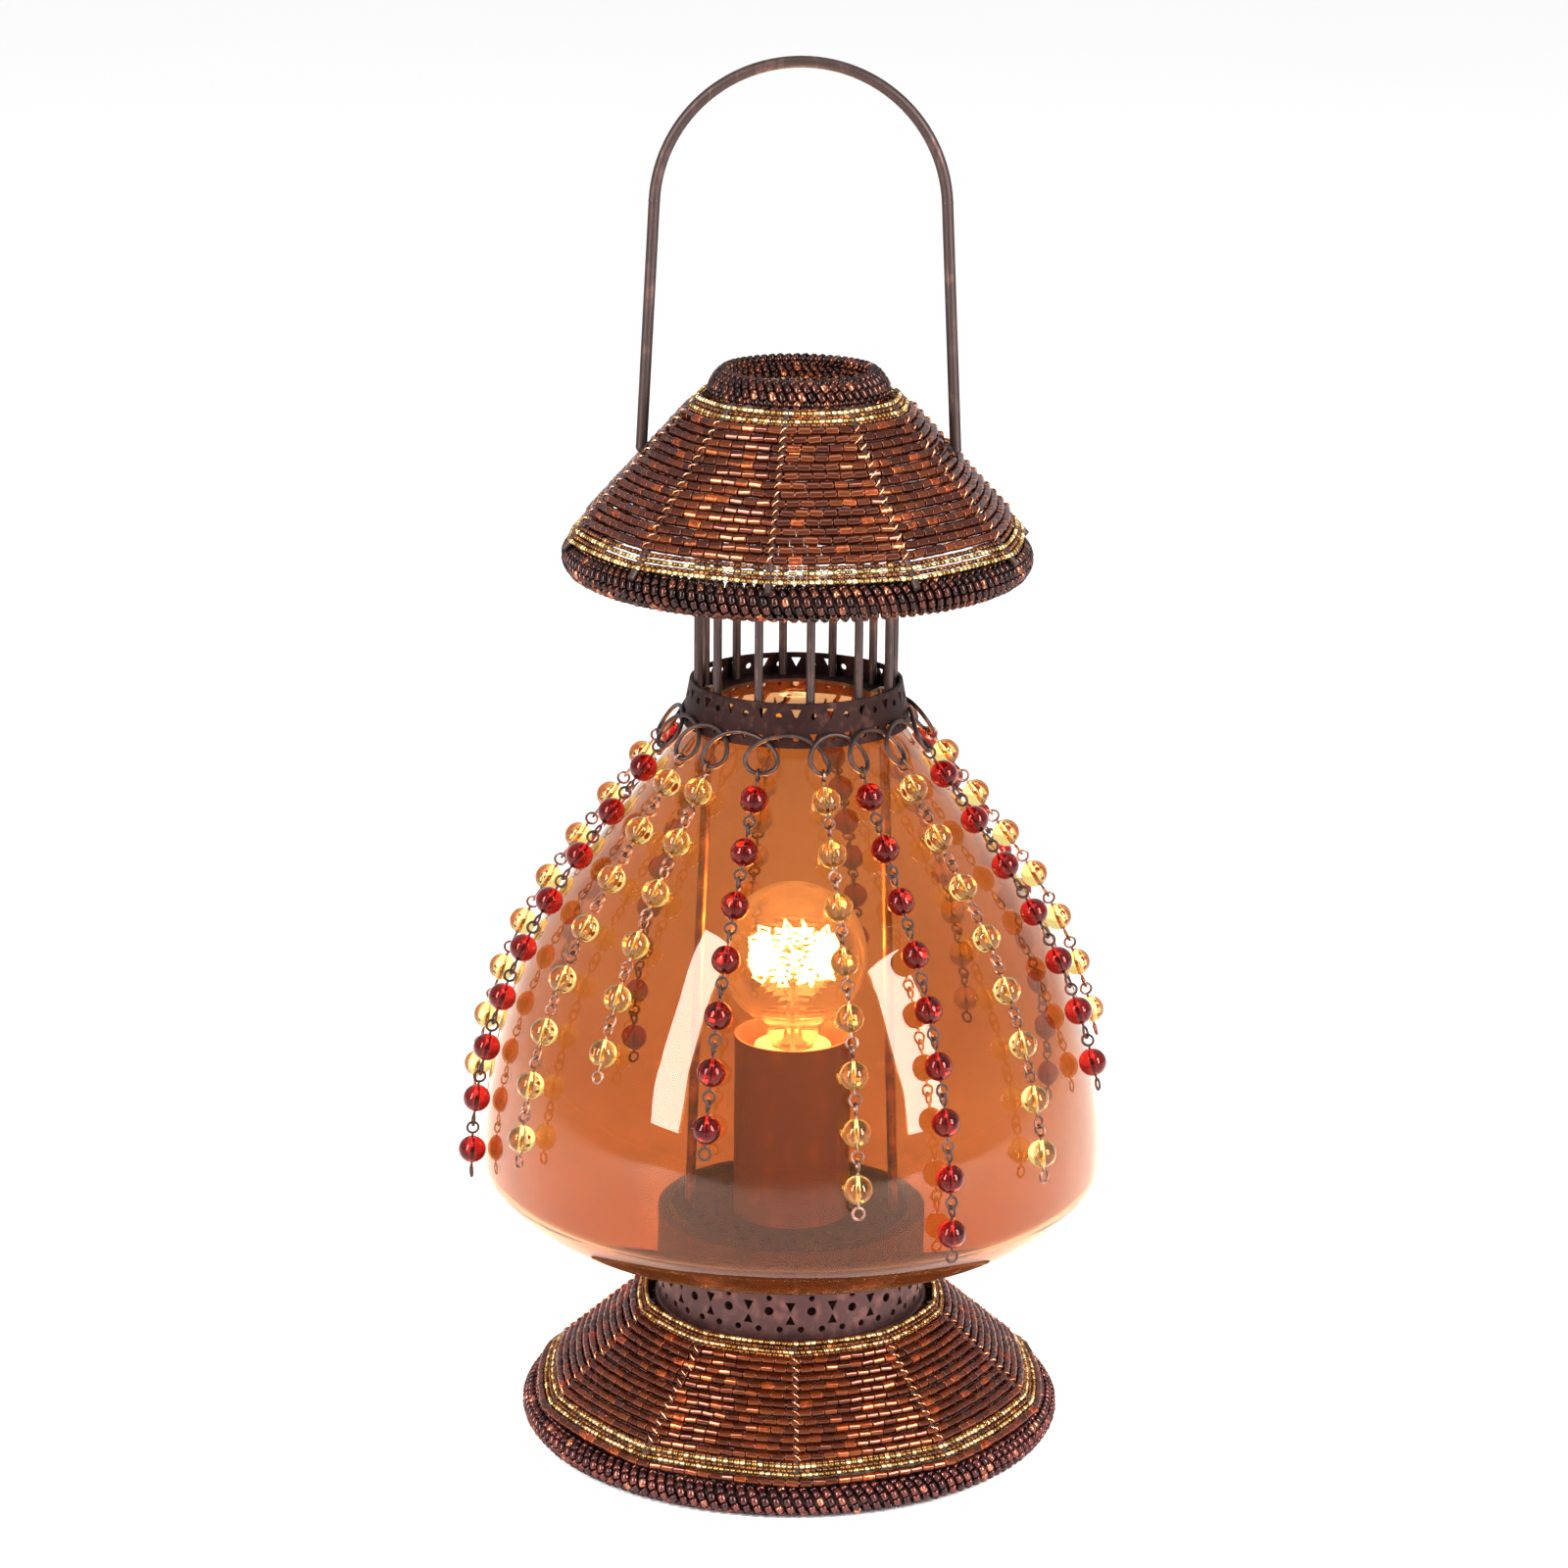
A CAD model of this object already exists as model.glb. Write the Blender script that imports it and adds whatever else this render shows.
"""The looks of a lantern table lamp: beaded roof and base, amber globe, hanging bead strands.

The lamp's own lengths are in millimetres and its angles in degrees. The studio's lengths and the
named inputs of the node trees are in metres.
"""

import logging
import math
import random
from dataclasses import dataclass, field
from enum import Enum
from typing import Iterable, Mapping, Sequence, Union

import bpy
from mathutils import Matrix, Vector


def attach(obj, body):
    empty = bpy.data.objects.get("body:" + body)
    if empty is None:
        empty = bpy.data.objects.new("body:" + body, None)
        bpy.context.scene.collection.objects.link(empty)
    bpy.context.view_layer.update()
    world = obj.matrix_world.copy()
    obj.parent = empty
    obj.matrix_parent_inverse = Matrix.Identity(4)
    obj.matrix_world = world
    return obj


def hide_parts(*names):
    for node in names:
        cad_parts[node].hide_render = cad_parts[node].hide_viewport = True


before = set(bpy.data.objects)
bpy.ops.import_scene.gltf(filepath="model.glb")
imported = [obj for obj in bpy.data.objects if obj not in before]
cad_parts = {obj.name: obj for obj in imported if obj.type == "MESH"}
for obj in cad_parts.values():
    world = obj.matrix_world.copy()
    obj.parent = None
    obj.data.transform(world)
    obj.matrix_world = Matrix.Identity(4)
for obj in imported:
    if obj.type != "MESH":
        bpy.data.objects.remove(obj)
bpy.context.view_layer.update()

log = logging.getLogger("lantern")

MM = 0.001
SIDES = 10
Colour = tuple[float, float, float]
Point = tuple[float, float, float]
Spot = tuple[float, float]


class Body(str, Enum):
    """The bodies that more than one piece rides on."""

    LAMP = "lamp"
    BULB = "bulb"


class Slot(str, Enum):
    """The record's material slots."""

    BROWN_BEADS = "brown_beads"
    GOLD_BEADS = "gold_beads"
    CLEAR_BEADS = "clear_amber_beads"
    RED_BEADS = "red_brown_beads"
    GLASS = "amber_glass"
    DARK_WIRE = "dark_wire"
    COPPER_WIRE = "copper_wire"
    FILAMENT = "filament_wire"


# ---------- node trees written as sums ----------


class Expr:
    """A number in a node tree. Arithmetic on it adds the Math nodes for it."""

    def __init__(self, graph: "Graph", socket: bpy.types.NodeSocket) -> None:
        """Wraps one output socket of the graph's tree."""
        self.graph = graph
        self.socket = socket

    def __add__(self, other: "Number") -> "Expr":
        """The sum."""
        return self.graph.math("ADD", self, other)

    __radd__ = __add__

    def __sub__(self, other: "Number") -> "Expr":
        """The difference."""
        return self.graph.math("SUBTRACT", self, other)

    def __mul__(self, other: "Number") -> "Expr":
        """The product."""
        return self.graph.math("MULTIPLY", self, other)

    __rmul__ = __mul__

    def __truediv__(self, other: "Number") -> "Expr":
        """The quotient."""
        return self.graph.math("DIVIDE", self, other)

    def sin(self) -> "Expr":
        """Its sine, in radians."""
        return self.graph.math("SINE", self)

    def cos(self) -> "Expr":
        """Its cosine, in radians."""
        return self.graph.math("COSINE", self)


Number = Union[Expr, float, int]


class Graph:
    """Adds nodes to one material or geometry tree."""

    def __init__(self, tree: bpy.types.NodeTree) -> None:
        """Starts on a tree whose nodes may be cleared by its owner."""
        self.tree = tree

    def node(
        self,
        kind: str,
        settings: Mapping[str, object] | None = None,
        inputs: Mapping[Union[str, int], object] | None = None,
    ) -> bpy.types.Node:
        """Adds a node, settings first, then the values or links of its sockets.

        Args:
            kind: The node's type name.
            settings: Properties of the node. "items" holds the kinds and names of attributes
                to capture.
            inputs: Values, expressions or sockets by the input's name or number.

        Returns:
            The new node.
        """
        made = self.tree.nodes.new(kind)
        for key, value in (settings or {}).items():
            if key == "items":
                for attribute_kind, name in value:
                    made.capture_items.new(attribute_kind, name)
            else:
                setattr(made, key, value)
        for key, value in (inputs or {}).items():
            self.put(value, made.inputs[key])
        return made

    def put(self, value: object, target: bpy.types.NodeSocket) -> None:
        """Links an expression or socket to an input, or sets the input's value.

        Args:
            value: What goes in.
            target: The input.
        """
        if isinstance(value, Expr):
            self.tree.links.new(value.socket, target)
        elif isinstance(value, bpy.types.NodeSocket):
            self.tree.links.new(value, target)
        else:
            target.default_value = value

    def math(self, operation: str, *values: Number) -> Expr:
        """Adds one Math node.

        Args:
            operation: What it does.
            values: Its inputs, in order.

        Returns:
            Its result.
        """
        made = self.node("ShaderNodeMath", {"operation": operation}, dict(enumerate(values)))
        return Expr(self, made.outputs[0])

    def vector(self, operation: str, *values: object) -> bpy.types.NodeSocket:
        """Adds one Vector Math node and gives its vector."""
        made = self.node("ShaderNodeVectorMath", {"operation": operation}, dict(enumerate(values)))
        return made.outputs[0]

    def scaled(self, vector: bpy.types.NodeSocket, factor: Number) -> bpy.types.NodeSocket:
        """A vector times a number."""
        made = self.node("ShaderNodeVectorMath", {"operation": "SCALE"}, {0: vector, "Scale": factor})
        return made.outputs[0]

    def mix(self, factor: Number, first: object, second: object) -> bpy.types.NodeSocket:
        """A colour between two colours.

        Args:
            factor: Nought for the first, one for the second.
            first: A colour or a colour socket.
            second: The same.

        Returns:
            The mixed colour's socket.
        """
        sides = [(*side, 1.0) if isinstance(side, tuple) else side for side in (first, second)]
        made = self.node(
            "ShaderNodeMix",
            {"data_type": "RGBA", "clamp_factor": True},
            {0: factor, 6: sides[0], 7: sides[1]},
        )
        return made.outputs[2]

    def ramp(self, value: Number, low: float, high: float) -> Expr:
        """A smooth step.

        Args:
            value: The number to judge.
            low: Where the step starts.
            high: Where it ends.

        Returns:
            Nought below low, one above high, smooth between.
        """
        made = self.node(
            "ShaderNodeMapRange",
            {"interpolation_type": "SMOOTHSTEP"},
            {"Value": value, "From Min": low, "From Max": high},
        )
        return Expr(self, made.outputs[0])


class Paint(Graph):
    """A material being made: its tree, one main shader, and the place on the piece in millimetres."""

    def __init__(self, name: str) -> None:
        """Starts an empty material of that name with a Principled shader."""
        self.material = bpy.data.materials.new(name)
        self.material.use_nodes = True
        super().__init__(self.material.node_tree)
        self.tree.nodes.clear()
        self.end = self.node("ShaderNodeOutputMaterial")
        self.shader = self.node("ShaderNodeBsdfPrincipled")
        self.show(self.shader.outputs[0])
        coords = self.node("ShaderNodeTexCoord")
        self.place = self.scaled(coords.outputs["Object"], 1 / MM)

    def set(self, **values: object) -> None:
        """Sets or links the shader's sockets.

        Args:
            values: Values by socket name, whose underscores stand for spaces.
        """
        for name, value in values.items():
            if isinstance(value, tuple) and len(value) == 3:
                value = (*value, 1.0)
            self.put(value, self.shader.inputs[name.replace("_", " ")])

    def noise(self, size: float, detail: float = 2.0, stretch: Point = (1.0, 1.0, 1.0)) -> Expr:
        """Smooth noise in space.

        Args:
            size: About how many millimetres a blot is across.
            detail: How many finer layers lie over it.
            stretch: How far the blots are drawn out along each axis.

        Returns:
            The noise, near a half on average.
        """
        where = self.vector("DIVIDE", self.place, tuple(size * s for s in stretch))
        made = self.node("ShaderNodeTexNoise", {}, {"Vector": where, "Scale": 1.0, "Detail": detail})
        return Expr(self, made.outputs[0])

    def tint(self, name: str = "tint") -> Expr:
        """The number kept on the mesh under that name, such as each bead's own shade."""
        made = self.node("ShaderNodeAttribute", {"attribute_name": name})
        return Expr(self, made.outputs["Fac"])

    def bump(self, height: Expr, depth: float) -> None:
        """Raises the surface by height times depth millimetres."""
        made = self.node("ShaderNodeBump", {}, {"Height": height, "Distance": depth * MM, "Strength": 1.0})
        self.put(made.outputs[0], self.shader.inputs["Normal"])

    def show(self, surface: bpy.types.NodeSocket) -> None:
        """Makes a shader's output the material's surface."""
        self.surface = surface
        self.put(surface, self.end.inputs["Surface"])

    def blend(self, factor: object, second: bpy.types.NodeSocket) -> None:
        """Mixes a second shader over the surface so far."""
        made = self.node("ShaderNodeMixShader", {}, {0: factor, 1: self.surface, 2: second})
        self.show(made.outputs[0])

    def scatter(self, share: float, colour: Colour) -> None:
        """Lets some of the light behind the surface come through it spread out.

        Args:
            share: How much of the surface does so, from 0 to 1.
            colour: The tint of the light that comes through.
        """
        made = self.node("ShaderNodeBsdfTranslucent", {}, {"Color": (*colour, 1.0)})
        self.blend(share, made.outputs[0])

    def lamps_pass(self, colour: Colour) -> None:
        """Lets lamps shine through, so that what is inside the glass is lit.

        Args:
            colour: The tint of the light that comes through.
        """
        ray = self.node("ShaderNodeLightPath")
        clear = self.node("ShaderNodeBsdfTransparent", {}, {"Color": (*colour, 1.0)})
        self.blend(ray.outputs["Is Shadow Ray"], clear.outputs[0])


# ---------- finishes ----------


@dataclass(frozen=True)
class SeedGlass:
    """Small strung beads: lined glass that differs from bead to bead."""

    name: str
    dark: Colour
    light: Colour
    glow: Colour
    metallic: float = 0.45
    rough: float = 0.2
    through: float = 0.0
    coat: float = 0.3
    edge: Colour = (0.40, 0.16, 0.10)
    shine: float = 0.88

    def material(self) -> bpy.types.Material:
        """Makes the material.

        Returns:
            Lined glass with a clear coat. A share of the light comes through from behind.
        """
        paint = Paint(self.name)
        tint = paint.tint()
        body = paint.mix(paint.ramp(tint, 0.1, 0.9), self.dark, self.light)
        chosen = paint.ramp(tint, self.shine, self.shine + 0.1)
        bright = chosen * paint.ramp(paint.noise(1.4, 2.0), 0.35, 0.6)
        body = paint.mix(bright * 0.8, body, self.glow)
        paint.set(
            Base_Color=body,
            Metallic=self.metallic,
            Roughness=self.rough + 0.16 * paint.noise(0.9),
            Coat_Weight=self.coat,
            Coat_Roughness=0.04,
            Specular_IOR_Level=0.3,
            Specular_Tint=self.edge,
        )
        paint.bump(paint.noise(0.8, 2.0), 0.02)
        if self.through > 0:
            paint.scatter(self.through, self.glow)
        return paint.material


@dataclass(frozen=True)
class ClearGlass:
    """Glass that is seen through: the globe, the bulb and the strands' round beads."""

    name: str
    colour: Colour
    shade: Colour
    lamp_colour: Colour
    blot: float = 60.0
    wave: float = 0.0
    wave_size: float = 20.0
    ior: float = 1.47
    veil: Colour = (1.0, 1.0, 1.0)
    haze: float = 0.0

    def material(self) -> bpy.types.Material:
        """Makes the material.

        Returns:
            Tinted glass with a slow change of shade, and fine wipe marks in its gloss.
        """
        paint = Paint(self.name)
        slow = paint.ramp(paint.noise(self.blot, 2.0), 0.35, 0.7)
        paint.set(
            Base_Color=paint.mix(slow, self.colour, self.shade),
            Transmission_Weight=1.0,
            Roughness=0.05 * paint.ramp(paint.noise(14.0, 4.0, (1.0, 1.0, 3.0)), 0.55, 0.8),
            IOR=self.ior,
            Specular_Tint=self.veil,
        )
        if self.wave > 0:
            paint.bump(paint.noise(self.wave_size, 1.0), self.wave)
        if self.haze > 0:
            paint.scatter(self.haze, self.lamp_colour)
        paint.lamps_pass(self.lamp_colour)
        return paint.material


@dataclass(frozen=True)
class OldMetal:
    """Wire, rod and sheet with a dark skin that has worn to the metal in places."""

    name: str
    skin: Colour
    worn: Colour
    wear: float = 0.5
    metallic: float = 0.85
    rough: float = 0.32
    grain: float = 1.2
    depth: float = 0.05
    drawn: float = 5.0

    def material(self) -> bpy.types.Material:
        """Makes the material.

        Returns:
            Dark metal with fine streaks along its height, blotches and worn places.
        """
        paint = Paint(self.name)
        blotch = paint.noise(6.0, 4.0)
        streak = paint.noise(self.grain, 3.0, (1.0, 1.0, self.drawn))
        edge = 0.78 - 0.4 * self.wear
        worn = paint.ramp(0.55 * blotch + 0.45 * streak, edge - 0.12, edge + 0.08)
        paint.set(
            Base_Color=paint.mix(worn, self.skin, self.worn),
            Metallic=self.metallic,
            Roughness=self.rough + 0.3 * blotch - 0.12 * worn,
        )
        paint.bump(0.6 * streak + 0.4 * paint.noise(0.5, 2.0), self.depth)
        return paint.material


@dataclass(frozen=True)
class Moulded:
    """Moulded plastic of the lampholder and the cord inlet."""

    name: str
    colour: Colour
    scuffed: Colour

    def material(self) -> bpy.types.Material:
        """Makes the material.

        Returns:
            Plastic with a fine orange-peel skin and lighter scuffs.
        """
        paint = Paint(self.name)
        scuff = paint.ramp(paint.noise(5.0, 5.0), 0.56, 0.74)
        paint.set(
            Base_Color=paint.mix(scuff, self.colour, self.scuffed),
            Roughness=0.38 + 0.2 * scuff,
            Specular_IOR_Level=0.45,
        )
        paint.bump(paint.noise(0.6, 2.0), 0.04)
        return paint.material


@dataclass(frozen=True)
class Glowing:
    """The lit wire of the bulb."""

    name: str
    cool: Colour
    hot: Colour
    strength: float

    def material(self) -> bpy.types.Material:
        """Makes the material.

        Returns:
            Metal that gives off light, a little unevenly along its turns.
        """
        paint = Paint(self.name)
        uneven = paint.ramp(paint.noise(3.0, 2.0), 0.3, 0.7)
        paint.set(
            Base_Color=paint.mix(uneven, (0.3, 0.2, 0.12), (0.5, 0.4, 0.3)),
            Roughness=0.5,
            Emission_Color=paint.mix(uneven, self.cool, self.hot),
            Emission_Strength=self.strength,
        )
        return paint.material


class Finishes:
    """Every material of the lamp, made once."""

    def __init__(self) -> None:
        """Makes the materials."""
        self.seeds = SeedGlass(
            "brown_seed_beads",
            dark=(0.012, 0.004, 0.004),
            light=(0.060, 0.017, 0.010),
            glow=(0.40, 0.14, 0.07),
            metallic=0.8,
            rough=0.08,
            edge=(0.30, 0.10, 0.06),
        ).material()
        self.wine_seeds = SeedGlass(
            "wine_seed_beads",
            dark=(0.034, 0.011, 0.012),
            light=(0.115, 0.034, 0.028),
            glow=(0.44, 0.17, 0.10),
            metallic=0.8,
            rough=0.08,
            edge=(0.34, 0.13, 0.10),
        ).material()
        self.bugles = SeedGlass(
            "brown_bugle_beads",
            dark=(0.064, 0.013, 0.004),
            light=(0.145, 0.034, 0.009),
            glow=(0.45, 0.09, 0.022),
            metallic=0.8,
            rough=0.06,
            through=0.10,
            coat=0.4,
            edge=(0.30, 0.07, 0.03),
        ).material()
        self.gold = SeedGlass(
            "gold_seed_beads",
            dark=(0.16, 0.08, 0.018),
            light=(0.46, 0.30, 0.10),
            glow=(0.95, 0.78, 0.42),
            metallic=0.85,
            rough=0.08,
            coat=0.25,
            edge=(0.6, 0.4, 0.2),
            shine=0.45,
        ).material()
        self.amber_seeds = SeedGlass(
            "amber_seed_beads",
            dark=(0.06, 0.018, 0.005),
            light=(0.16, 0.05, 0.012),
            glow=(0.5, 0.24, 0.07),
            metallic=0.7,
            rough=0.1,
        ).material()
        self.globe = ClearGlass(
            "amber_glass",
            colour=(0.49, 0.245, 0.105),
            shade=(0.44, 0.20, 0.08),
            lamp_colour=(0.9, 0.62, 0.4),
            blot=70.0,
            wave=0.25,
            wave_size=24.0,
            veil=(0.56, 0.48, 0.44),
            haze=0.006,
        ).material()
        self.bulb = ClearGlass(
            "bulb_glass",
            colour=(0.99, 0.97, 0.93),
            shade=(0.97, 0.94, 0.88),
            lamp_colour=(0.98, 0.96, 0.92),
            blot=20.0,
            haze=0.003,
        ).material()
        self.clear_beads = ClearGlass(
            "clear_amber_beads",
            colour=(0.90, 0.74, 0.28),
            shade=(0.86, 0.62, 0.18),
            lamp_colour=(1.0, 0.8, 0.45),
            blot=6.0,
            wave=0.02,
            wave_size=2.2,
            ior=1.5,
            veil=(0.7, 0.6, 0.45),
        ).material()
        self.red_beads = ClearGlass(
            "red_brown_beads",
            colour=(0.40, 0.014, 0.010),
            shade=(0.22, 0.007, 0.006),
            lamp_colour=(0.5, 0.08, 0.04),
            blot=6.0,
            wave=0.01,
            wave_size=3.0,
            ior=1.5,
            veil=(0.5, 0.28, 0.26),
        ).material()
        self.pin_wire = OldMetal(
            "pin_wire", (0.09, 0.048, 0.036), (0.30, 0.17, 0.13),
            wear=0.6, metallic=1.0, rough=0.2, grain=0.8, depth=0.02,
        ).material()
        self.dark_wire = OldMetal(
            "dark_wire", (0.034, 0.020, 0.018), (0.085, 0.045, 0.036),
            wear=0.4, metallic=0.75, rough=0.32, grain=1.6, depth=0.03, drawn=8.0,
        ).material()
        self.upper_sheet = OldMetal(
            "upper_collar_sheet", (0.018, 0.007, 0.006), (0.045, 0.018, 0.014),
            wear=0.42, metallic=0.92, rough=0.5, grain=2.0, depth=0.06, drawn=1.4,
        ).material()
        self.lower_sheet = OldMetal(
            "lower_collar_sheet", (0.046, 0.024, 0.024), (0.095, 0.046, 0.043),
            wear=0.5, metallic=0.75, rough=0.38, grain=2.4, depth=0.06, drawn=1.4,
        ).material()
        self.sleeve = OldMetal(
            "sleeve_paint", (0.080, 0.032, 0.026), (0.16, 0.062, 0.045),
            wear=0.4, metallic=0.3, rough=0.4, grain=2.0, depth=0.03, drawn=12.0,
        ).material()
        self.copper = OldMetal(
            "copper_wire", (0.36, 0.14, 0.06), (0.80, 0.38, 0.19),
            wear=0.75, metallic=1.0, rough=0.16, grain=0.8, depth=0.02,
        ).material()
        self.rods = OldMetal(
            "rod_brass", (0.10, 0.045, 0.022), (0.40, 0.20, 0.085),
            wear=0.55, metallic=0.95, rough=0.22, grain=0.8, depth=0.06, drawn=0.3,
        ).material()
        self.brass = OldMetal(
            "brass_thread", (0.42, 0.27, 0.09), (0.75, 0.53, 0.22),
            wear=0.7, metallic=1.0, rough=0.25, grain=0.8, depth=0.05, drawn=0.3,
        ).material()
        self.cap = OldMetal(
            "cap_metal", (0.45, 0.42, 0.38), (0.7, 0.67, 0.62),
            wear=0.7, metallic=1.0, rough=0.25, grain=0.8, depth=0.03, drawn=0.4,
        ).material()
        self.plastic = Moulded("black_plastic", (0.012, 0.011, 0.011), (0.05, 0.047, 0.045)).material()
        self.holder = Moulded("holder_ivory", (0.86, 0.82, 0.74), (0.90, 0.87, 0.80)).material()
        self.filament = Glowing("filament_wire", (1.0, 0.78, 0.42), (1.0, 0.88, 0.62), 70.0).material()
        self.stem = ClearGlass(
            "stem_glass",
            colour=(0.95, 0.93, 0.9),
            shade=(0.9, 0.88, 0.84),
            lamp_colour=(0.95, 0.93, 0.9),
            blot=8.0,
        ).material()


# ---------- meshes and the trees that repeat them ----------


def mesh_object(
    name: str,
    points: Sequence[Point],
    faces: Sequence[Sequence[int]],
    edges: Sequence[tuple[int, int]] = (),
) -> bpy.types.Object:
    """Makes an object at the origin.

    Args:
        name: The object's name.
        points: Its points, in metres.
        faces: Its faces, turned outwards.
        edges: Loose edges, for threads and wire paths.

    Returns:
        The object, linked to the scene.
    """
    mesh = bpy.data.meshes.new(name)
    mesh.from_pydata(points, edges, faces)
    mesh.shade_smooth()
    mesh.update()
    made = bpy.data.objects.new(name, mesh)
    bpy.context.scene.collection.objects.link(made)
    return made


def turned(name: str, profile: Sequence[Spot], steps: int, scale: float = MM) -> bpy.types.Object:
    """Turns a closed outline round Z.

    Args:
        name: The object's name.
        profile: Distance out and height, counter-clockwise seen with out to the right.
        steps: Points round a turn.
        scale: Metres per unit of the profile.

    Returns:
        A closed ring-shaped object.
    """
    count = len(profile)
    angles = [2 * math.pi * i / steps for i in range(steps)]
    points = [
        (scale * r * math.cos(a), scale * r * math.sin(a), scale * z)
        for a in angles
        for r, z in profile
    ]
    faces = []
    for i in range(steps):
        here, ahead = i * count, (i + 1) % steps * count
        for j in range(count):
            above = (j + 1) % count
            faces.append((here + j, ahead + j, ahead + above, here + above))
    return mesh_object(name, points, faces)


def toward(azimuth: float, reach: float, height: float) -> Point:
    """A point in millimetres, by its direction and distance from the axis.

    Args:
        azimuth: Its direction in degrees: 0 is the front, and it grows to the right.
        reach: Its distance from the axis.
        height: Its height.

    Returns:
        The point.
    """
    a = math.radians(azimuth)
    return (reach * math.sin(a), -reach * math.cos(a), height)


def path_object(name: str, paths: Iterable[Sequence[Point]], closed: bool = False) -> bpy.types.Object:
    """Makes loose edges through points, one run of edges for each path.

    Args:
        name: The object's name.
        paths: Points in millimetres.
        closed: Whether each path runs back to its start.

    Returns:
        The object.
    """
    points: list[Point] = []
    edges: list[tuple[int, int]] = []
    for path in paths:
        first = len(points)
        points += [tuple(MM * c for c in p) for p in path]
        edges += [(first + i, first + i + 1) for i in range(len(path) - 1)]
        if closed:
            edges.append((len(points) - 1, first))
    return mesh_object(name, points, [], edges)


class Tree(Graph):
    """A geometry tree with named inputs, which ends in Realize Instances and Set Material."""

    def __init__(self, name: str, inputs: Mapping[str, tuple[str, object]]) -> None:
        """Starts the tree.

        Args:
            name: The tree's name.
            inputs: The kind of socket and first value of each named input.
        """
        super().__init__(bpy.data.node_groups.new(name, "GeometryNodeTree"))
        face = self.tree.interface
        face.new_socket("Geometry", in_out="INPUT", socket_type="NodeSocketGeometry")
        face.new_socket("Geometry", in_out="OUTPUT", socket_type="NodeSocketGeometry")
        self.keys = {}
        for label, (kind, value) in {**inputs, "Finish": ("NodeSocketMaterial", None)}.items():
            made = face.new_socket(label, in_out="INPUT", socket_type=kind)
            if value is not None:
                made.default_value = value
            self.keys[label] = made.identifier
        self.start = self.node("NodeGroupInput")
        self.end = self.node("NodeGroupOutput")

    def given(self, label: str) -> Expr:
        """The value of a named input."""
        return Expr(self, self.start.outputs[label])

    def close(self, geometry: bpy.types.NodeSocket) -> None:
        """Realizes the instances, dresses them and ends the tree.

        Args:
            geometry: What the tree has made.
        """
        real = self.node("GeometryNodeRealizeInstances", {}, {0: geometry})
        dressed = self.node(
            "GeometryNodeSetMaterial", {}, {"Geometry": real.outputs[0], "Material": self.given("Finish")}
        )
        self.put(dressed.outputs[0], self.end.inputs[0])

    def run(self, target: bpy.types.Object, finish: bpy.types.Material, **values: object) -> bpy.types.Object:
        """Runs the tree on an object and keeps the result as its plain mesh.

        Args:
            target: The object that carries the points or edges.
            finish: The material of the result.
            values: Named inputs, whose underscores stand for spaces.

        Returns:
            The same object, with the new mesh and no modifier.
        """
        modifier = target.modifiers.new("repeat", "NODES")
        modifier.node_group = self.tree
        modifier[self.keys["Finish"]] = finish
        for label, value in values.items():
            modifier[self.keys[label.replace("_", " ")]] = value
        seen = bpy.context.evaluated_depsgraph_get()
        made = bpy.data.meshes.new_from_object(target.evaluated_get(seen))
        target.modifiers.remove(modifier)
        old, target.data = target.data, made
        bpy.data.meshes.remove(old)
        return target


class Draw(Enum):
    """Which of a bead's random values is drawn. The number shifts the seed."""

    SWELL = 1
    SPIN = 3
    SHADE = 5
    LEAN = 7


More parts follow.
